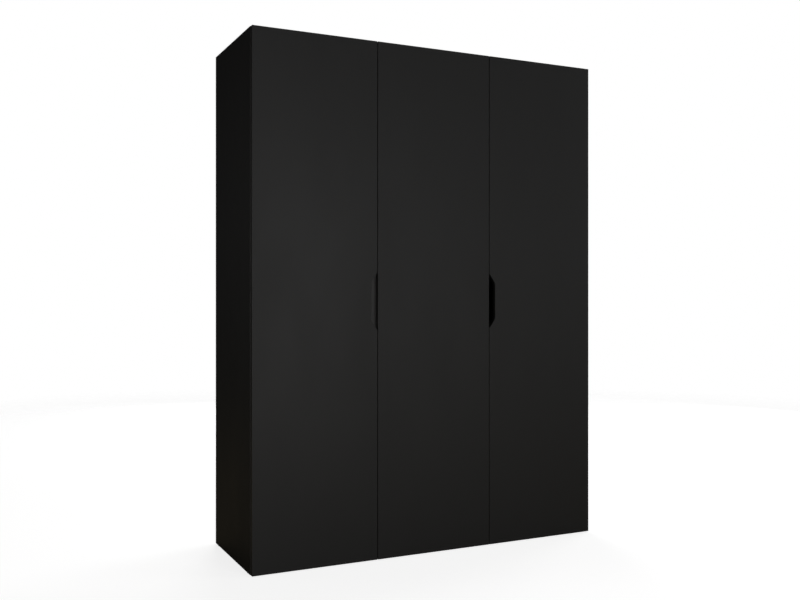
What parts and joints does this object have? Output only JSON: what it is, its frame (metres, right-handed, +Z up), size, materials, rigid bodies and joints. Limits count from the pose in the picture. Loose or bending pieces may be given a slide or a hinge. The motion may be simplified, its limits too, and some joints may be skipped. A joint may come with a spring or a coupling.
{
  "type": "wardrobe",
  "caption": "Wardrobe with flush full-height doors, edge finger cut-outs, inner shelves, a hat shelf and a hanging rail.",
  "frame": {"origin": "on the floor, in the middle of the footprint", "axes": "+Z up, +X to the right when facing the doors, +Y back towards the wall; the doors face -Y"},
  "size_m": [1.5, 0.514, 2],
  "materials": {
    "door_board": "matt black laminate on particle board",
    "carcass_board": "matt black laminate on particle board",
    "back_board": "black lacquered hardboard",
    "nickel_steel": "nickel plated",
    "zinc_steel": "zinc plated",
    "zinc_fittings": "die-cast zinc",
    "bright_tube": "bright chrome",
    "black_plastic": "moulded",
    "clear_rubber": "soft translucent",
    "beech": "plain beech"
  },
  "bodies": {
    "carcass": {"back_joiner": "black_plastic", "back_nails": "zinc_steel", "bracket_screws": "zinc_steel", "cabinet_bolts": "zinc_fittings", "cam_bolts": "zinc_fittings", "cam_locks": "zinc_fittings", "dowels": "beech", "fixed_shelf": "carcass_board", "glides": "black_plastic", "hanging_rail": "bright_tube", "hat_shelf": "carcass_board", "left_back_plinth": "carcass_board", "left_back_sheet": "back_board", "left_bottom_panel": "carcass_board", "left_front_plinth": "carcass_board", "left_hinge_arms": "nickel_steel", "left_hinge_plates": "nickel_steel", "left_hinge_screws": "zinc_steel", "left_inner_side": "carcass_board", "left_side": "carcass_board", "left_top_panel": "carcass_board", "loose_shelf_1": "carcass_board", "loose_shelf_2": "carcass_board", "loose_shelf_3": "carcass_board", "loose_shelf_4": "carcass_board", "loose_shelf_5": "carcass_board", "middle_back_sheet": "back_board", "middle_hinge_arms": "nickel_steel", "middle_hinge_plates": "nickel_steel", "middle_hinge_screws": "zinc_steel", "plinth_brace": "carcass_board", "rail_screws": "zinc_steel", "rail_sockets": "black_plastic", "right_back_plinth": "carcass_board", "right_back_sheet": "back_board", "right_bottom_panel": "carcass_board", "right_front_plinth": "carcass_board", "right_hinge_arms": "nickel_steel", "right_hinge_plates": "nickel_steel", "right_hinge_screws": "zinc_steel", "right_inner_side": "carcass_board", "right_side": "carcass_board", "right_top_panel": "carcass_board", "shelf_pins": "zinc_steel", "wall_brackets": "zinc_steel"},
    "left_door": {"left_door": "door_board", "left_hinge_cups": "nickel_steel", "left_hinge_pins": "zinc_steel", "left_cup_screws": "zinc_steel", "left_door_bumpers": "clear_rubber"},
    "middle_door": {"middle_door": "door_board", "middle_hinge_cups": "nickel_steel", "middle_hinge_pins": "zinc_steel", "middle_cup_screws": "zinc_steel", "middle_door_bumpers": "clear_rubber"},
    "right_door": {"right_door": "door_board", "right_hinge_cups": "nickel_steel", "right_hinge_pins": "zinc_steel", "right_cup_screws": "zinc_steel", "right_door_bumpers": "clear_rubber"}
  },
  "joints": [
    {"name": "left_door_swing", "type": "hinge", "parent": "carcass", "child": "left_door", "pos_m": [-0.7417, -0.2498, 1], "axis": [0, 0, -1], "range_deg": [0, 95]},
    {"name": "middle_door_swing", "type": "hinge", "parent": "carcass", "child": "middle_door", "pos_m": [-0.24137, -0.2498, 1], "axis": [0, 0, -1], "range_deg": [0, 95]},
    {"name": "right_door_swing", "type": "hinge", "parent": "carcass", "child": "right_door", "pos_m": [0.7417, -0.2498, 1], "axis": [0, 0, 1], "range_deg": [0, 95]}
  ]
}
